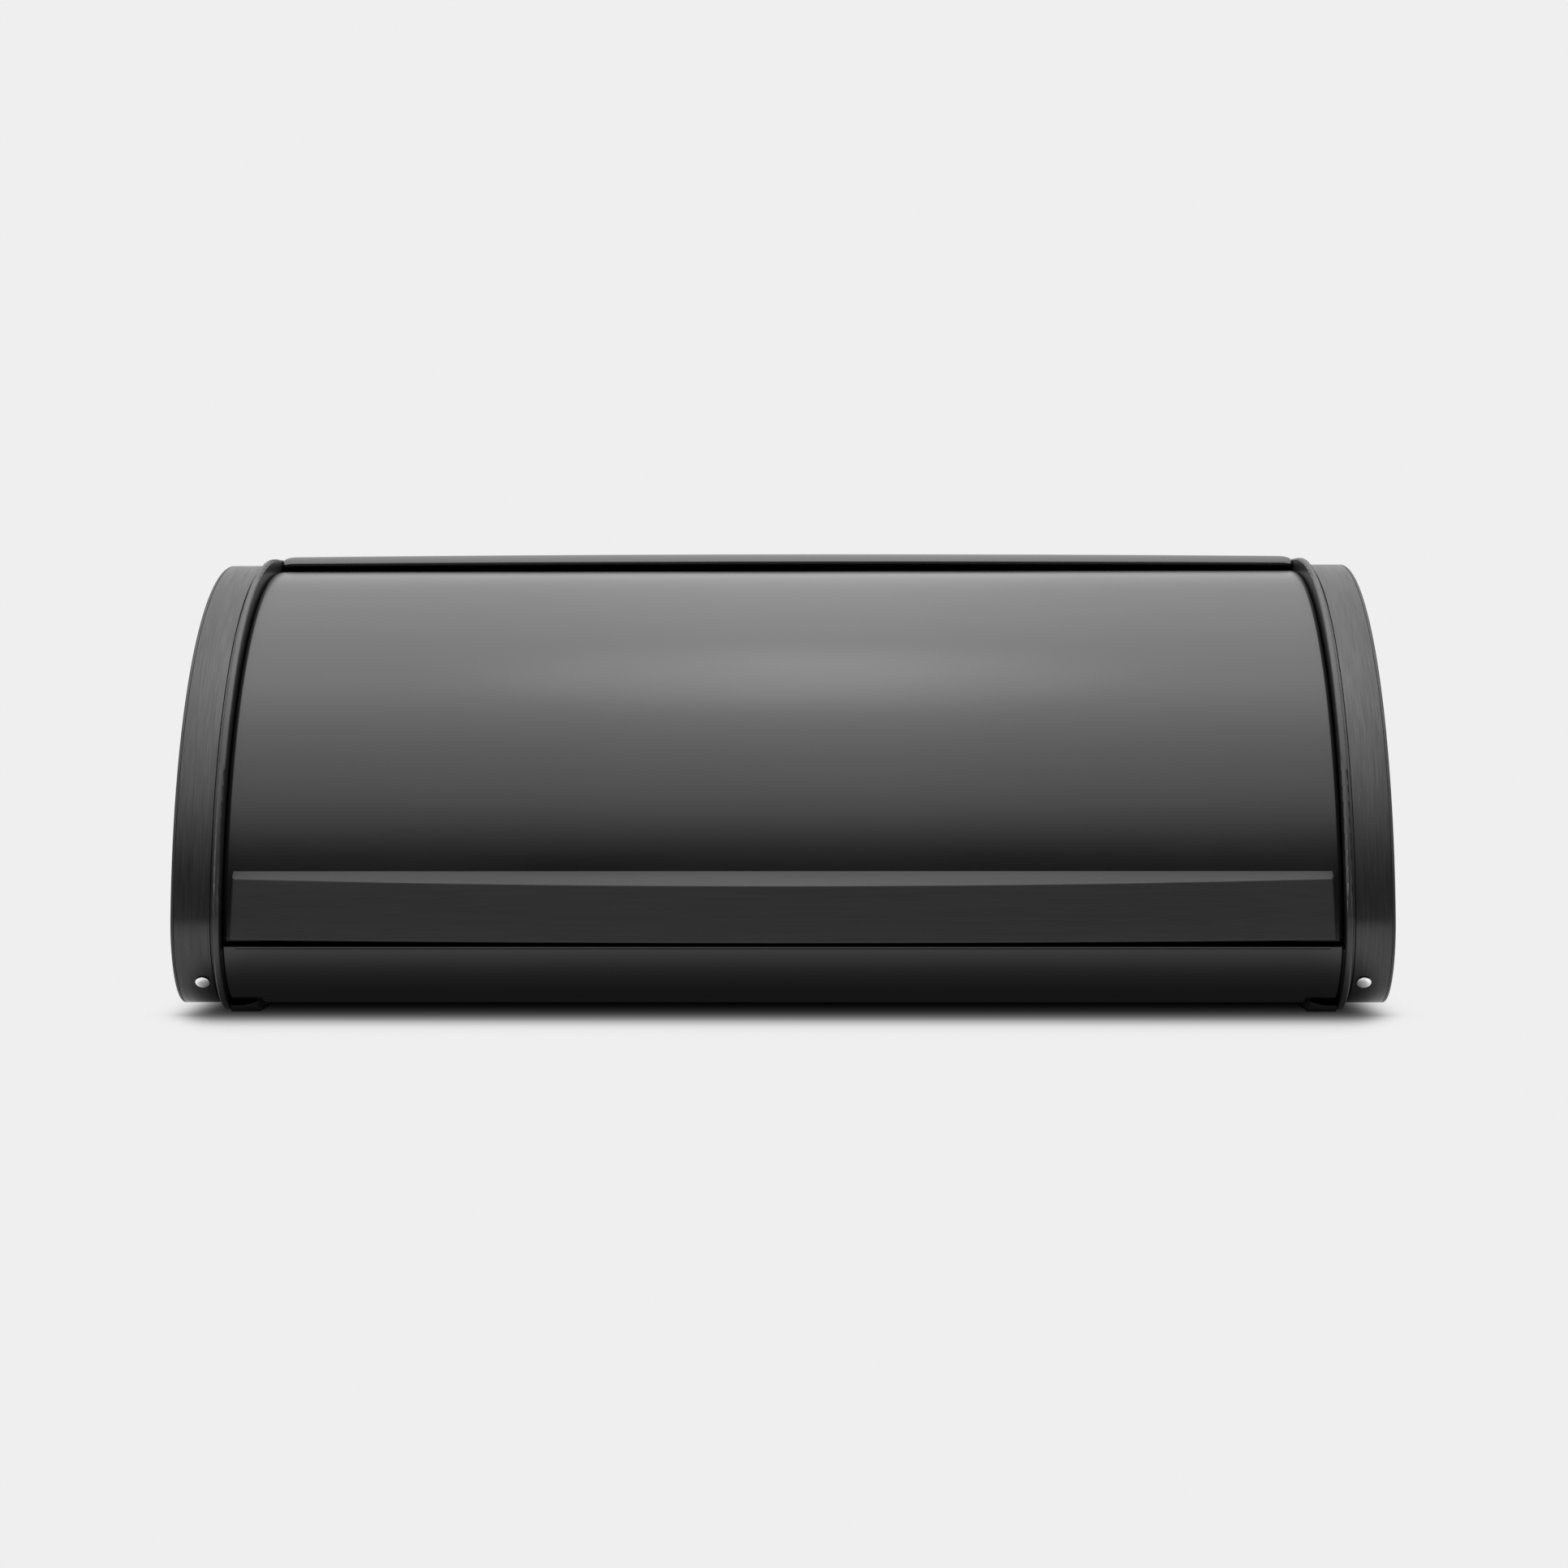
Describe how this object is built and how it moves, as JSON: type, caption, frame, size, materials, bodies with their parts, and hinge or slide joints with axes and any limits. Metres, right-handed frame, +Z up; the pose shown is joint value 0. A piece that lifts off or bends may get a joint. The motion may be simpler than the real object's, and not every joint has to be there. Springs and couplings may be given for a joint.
{
  "type": "bread bin",
  "caption": "Roll-top bread bin in black steel: a curved lid on side arms swings up and back under the flat top, between banded end frames.",
  "frame": {"origin": "on the surface it stands on, under the middle of its box", "axes": "+X to the right seen from the front, +Y towards the back, +Z up; the lid and handle face -Y"},
  "size_m": [0.445, 0.2828, 0.1725],
  "materials": {
    "coated_steel": "satin black powder coat on sheet steel",
    "band_steel": "black brushed steel, grain along the strip",
    "frame_plastic": "fine-grained moulded plastic",
    "handle_plastic": "satin moulded plastic with a fine lengthwise texture",
    "arm_plastic": "plain moulded plastic",
    "bush_plastic": "natural acetal",
    "foot_rubber": "matt rubber",
    "felt": "dense black felt",
    "rivet_steel": "polished",
    "fastener_steel": "zinc plated"
  },
  "bodies": {
    "body": {"rear_top_cover": "coated_steel", "base_pan": "coated_steel", "right_band": "band_steel", "left_band": "band_steel", "right_end_frame": "frame_plastic", "right_side_plate": "frame_plastic", "left_end_frame": "frame_plastic", "left_side_plate": "frame_plastic", "right_foot_rail": "foot_rubber", "left_foot_rail": "foot_rubber", "closing_stops": "foot_rubber", "opening_stops": "felt", "band_rivets": "rivet_steel", "floor_screws": "fastener_steel", "cover_screws": "fastener_steel", "side_plate_screws": "fastener_steel", "seam_rivets": "fastener_steel", "right_pivot_pin": "fastener_steel", "right_pivot_washer": "fastener_steel", "right_pivot_clip": "fastener_steel", "left_pivot_pin": "fastener_steel", "left_pivot_washer": "fastener_steel", "left_pivot_clip": "fastener_steel"},
    "lid": {"lid_sheet": "coated_steel", "handle_bar": "handle_plastic", "handle_screws": "fastener_steel", "right_lid_arm": "arm_plastic", "right_pivot_bush": "bush_plastic", "left_lid_arm": "arm_plastic", "left_pivot_bush": "bush_plastic"}
  },
  "joints": [
    {"name": "lid_pivot", "type": "hinge", "parent": "body", "child": "lid", "pos_m": [0, 0.01012, 0.0207], "axis": [-1, 0, 0], "range_deg": [0, 55]}
  ]
}
